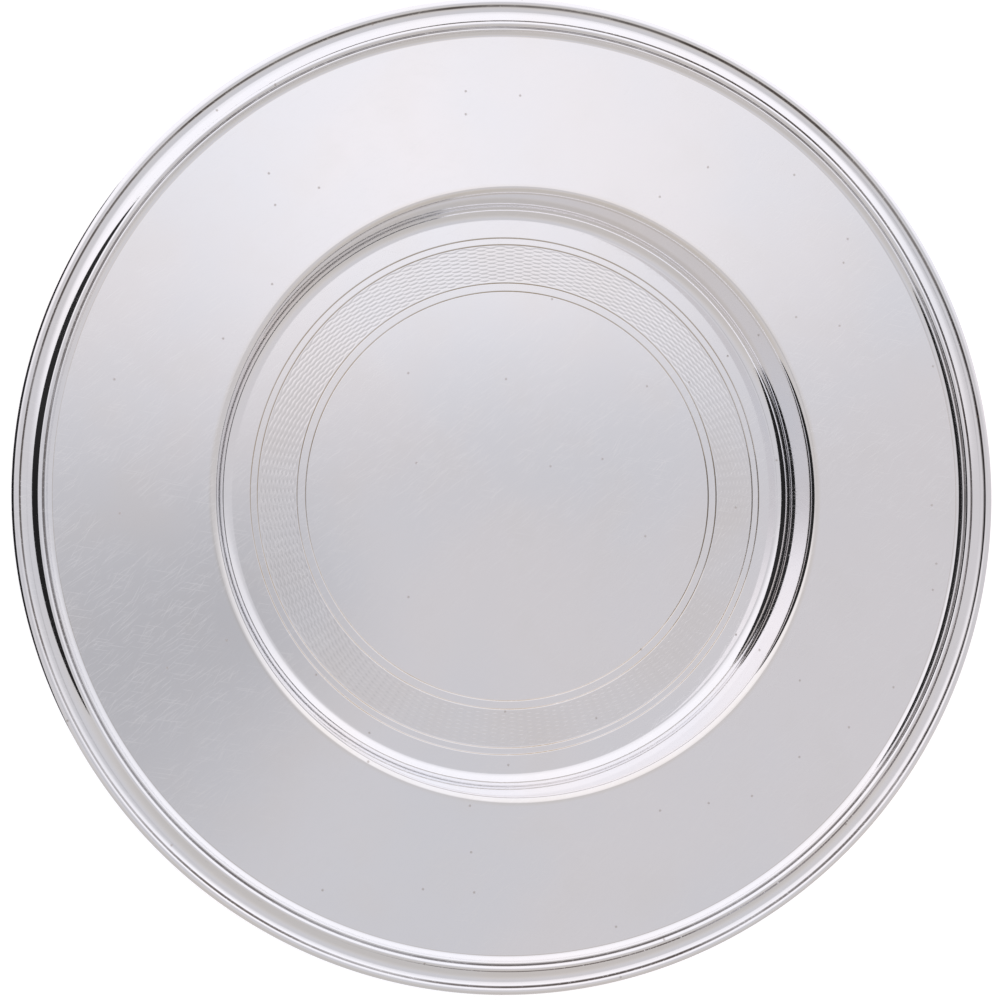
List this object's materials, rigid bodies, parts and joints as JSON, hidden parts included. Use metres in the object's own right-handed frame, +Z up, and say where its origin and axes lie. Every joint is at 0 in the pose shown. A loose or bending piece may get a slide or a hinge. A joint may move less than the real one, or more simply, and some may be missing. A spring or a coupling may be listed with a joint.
{
  "type": "offering plate",
  "caption": "Round silver-plated collection plate with a steep-walled well, a wide flat rim, an engine-turned floor band and a reeded border.",
  "frame": {"origin": "on the plate's axis, at the underside of the floor", "axes": "+Z up, along the plate's axis of revolution"},
  "size_m": [0.254, 0.254, 0.0218],
  "materials": {
    "silver_plate": "mirror-polished silver plate with fine hairline scratches",
    "silver_border": "polished silver plate, faint tarnish in the grooves",
    "silver_wire": "polished silver plate"
  },
  "bodies": {
    "root": {"plate_body": "silver_plate", "border_moulding": "silver_border", "edge_wire": "silver_wire"}
  },
  "joints": []
}
